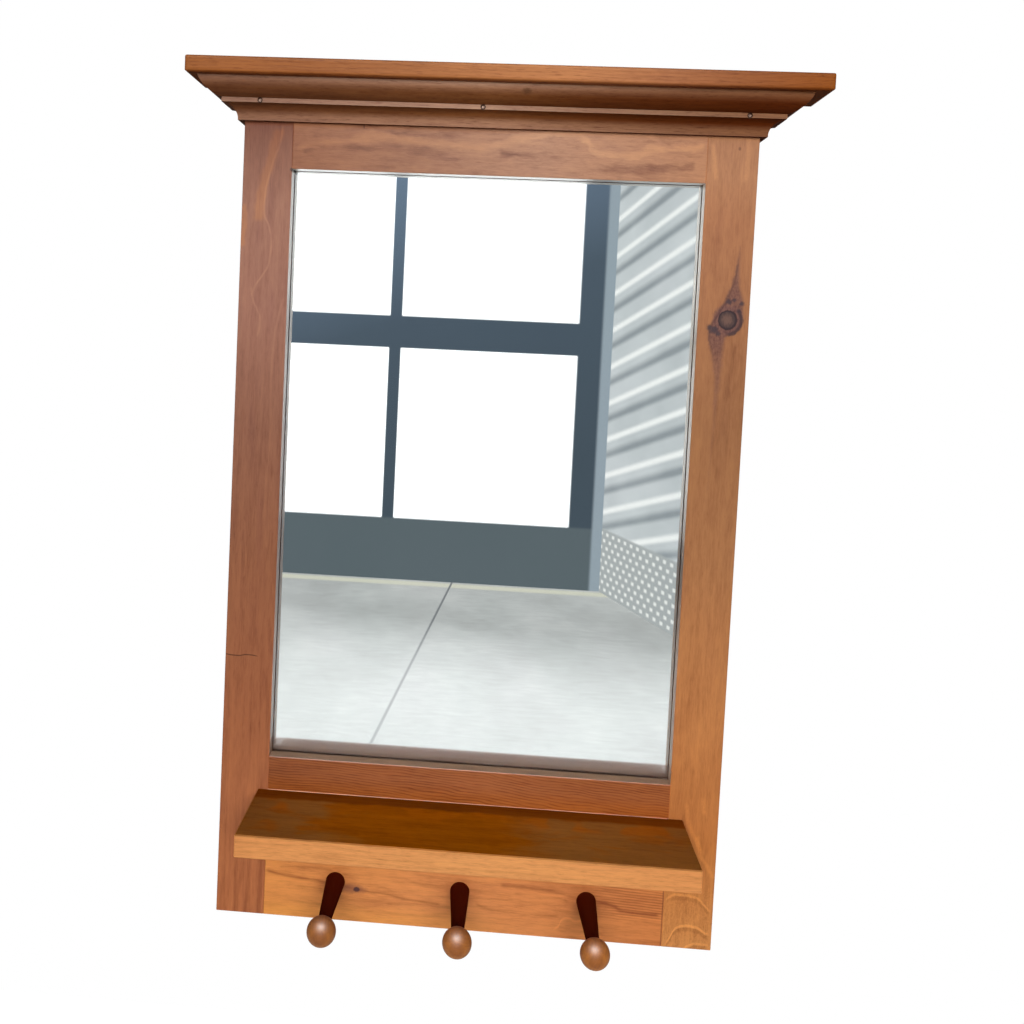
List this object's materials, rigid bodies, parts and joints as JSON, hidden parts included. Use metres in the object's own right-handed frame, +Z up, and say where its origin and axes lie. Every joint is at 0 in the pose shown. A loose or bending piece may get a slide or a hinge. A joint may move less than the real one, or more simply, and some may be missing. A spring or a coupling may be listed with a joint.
{
  "type": "wall mirror with pegs",
  "caption": "Wall mirror in a stained pine frame with a moulded cornice, a small shelf under the glass and a rail of turned coat pegs.",
  "frame": {"origin": "on the back of the frame, at the middle of the top rail's width and height, where the frame's back touches the wall", "axes": "+X to the right seen from the front, +Y into the wall (the room is at -Y), +Z up along the stiles"},
  "size_m": [0.47, 0.0997, 0.6655],
  "materials": {
    "pine_left_stile": "reddish-brown stained pine, satin varnish",
    "pine_right_stile": "orange-brown stained pine with a knot, satin varnish",
    "pine_top_rail": "medium brown stained pine, satin varnish",
    "pine_middle_rail": "reddish-brown stained pine, satin varnish",
    "pine_peg_rail": "light orange stained pine, satin varnish",
    "pine_cornice": "orange-brown stained pine, satin varnish",
    "pine_moulding": "brown stained pine moulding, satin varnish",
    "pine_shelf": "golden-brown stained pine, glossy varnish",
    "turned_peg": "dark red-brown stained turned wood, satin varnish",
    "beech_dowel": "bare beech",
    "mirror_glass": "back-silvered float glass",
    "hardboard": "bare brown hardboard",
    "plated_steel": "yellow-passivated steel",
    "bright_steel": "bright steel, dulled with age"
  },
  "bodies": {
    "root": {"left_stile": "pine_left_stile", "right_stile": "pine_right_stile", "top_rail": "pine_top_rail", "middle_rail": "pine_middle_rail", "peg_rail": "pine_peg_rail", "top_rail_dowels": "beech_dowel", "middle_rail_dowels": "beech_dowel", "peg_rail_dowels": "beech_dowel", "cornice_board": "pine_cornice", "board_screws": "plated_steel", "crown_front": "pine_moulding", "crown_return_left": "pine_moulding", "crown_return_right": "pine_moulding", "crown_nails": "bright_steel", "return_nails": "bright_steel", "shelf": "pine_shelf", "shelf_screws": "plated_steel", "peg_left": "turned_peg", "peg_centre": "turned_peg", "peg_right": "turned_peg", "mirror_glass": "mirror_glass", "backing_panel": "hardboard", "glazing_points": "bright_steel", "hanger_plate_left": "plated_steel", "hanger_plate_right": "plated_steel", "hanger_screws": "plated_steel"}
  },
  "joints": []
}
